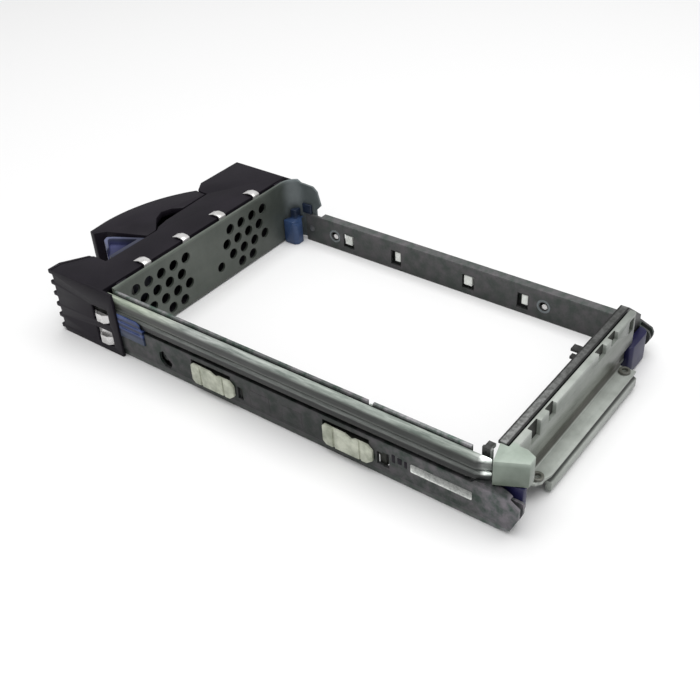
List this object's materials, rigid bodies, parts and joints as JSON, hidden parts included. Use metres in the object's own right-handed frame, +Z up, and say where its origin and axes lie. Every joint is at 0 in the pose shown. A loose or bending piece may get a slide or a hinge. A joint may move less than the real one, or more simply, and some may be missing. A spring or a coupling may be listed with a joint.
{
  "type": "hot swap drive caddy",
  "caption": "Open-frame hot swap drive caddy: ribbed front bezel with a swinging ejector handle and release latch, perforated front plate, side rails with glide pads and a rear guide.",
  "frame": {"origin": "on the centre line, in the rear face of the front plate and in the plane of the underside", "axes": "+Y from the front plate to the rear, the way the caddy slides into its bay; +X to the right rail as seen from the front; +Z up"},
  "size_m": [0.1146, 0.2147, 0.0295],
  "materials": {
    "bezel_black": "fine satin texture",
    "plate_steel": "dull passivated sheet",
    "rail_grey": "satin dark grey",
    "pipe_clear": "smoky clear moulding over a dark rail",
    "pad_white": "off-white, slippery",
    "guide_grey": "light greenish grey",
    "isolator_blue": "soft blue elastomer",
    "latch_blue": "touch-point blue",
    "contact_metal": "bright plated spring strip",
    "pin_steel": "plain steel"
  },
  "bodies": {
    "tray": {"front_bezel": "bezel_black", "front_plate": "plate_steel", "left_rail": "rail_grey", "right_rail": "rail_grey", "rear_cross_member": "rail_grey", "light_pipe_upper": "pipe_clear", "light_pipe_lower": "pipe_clear", "glide_pad_left_front": "pad_white", "glide_pad_left_rear": "pad_white", "glide_pad_right_front": "pad_white", "glide_pad_right_rear": "pad_white", "rear_guide": "guide_grey", "isolator_front_left": "isolator_blue", "isolator_front_right": "isolator_blue", "isolator_rear_left": "isolator_blue", "isolator_rear_right": "isolator_blue", "emi_fingers_top": "contact_metal", "emi_fingers_side": "contact_metal", "handle_pin": "pin_steel", "rivets": "pin_steel", "latch_spring": "pin_steel"},
    "handle_body": {"handle": "bezel_black"},
    "latch_body": {"release_latch": "latch_blue"}
  },
  "joints": [
    {"name": "handle_swing", "type": "hinge", "parent": "tray", "child": "handle_body", "pos_m": [-0.038, -0.023, 0.0142], "axis": [0, 0, -1], "range_deg": [0, 90]},
    {"name": "latch_slide", "type": "slide", "parent": "tray", "child": "latch_body", "axis": [1, 0, 0], "range_m": [0, 0.0025], "stiffness_N_per_m": 600, "springref_m": -0.002, "deforming": ["latch_spring"]}
  ]
}
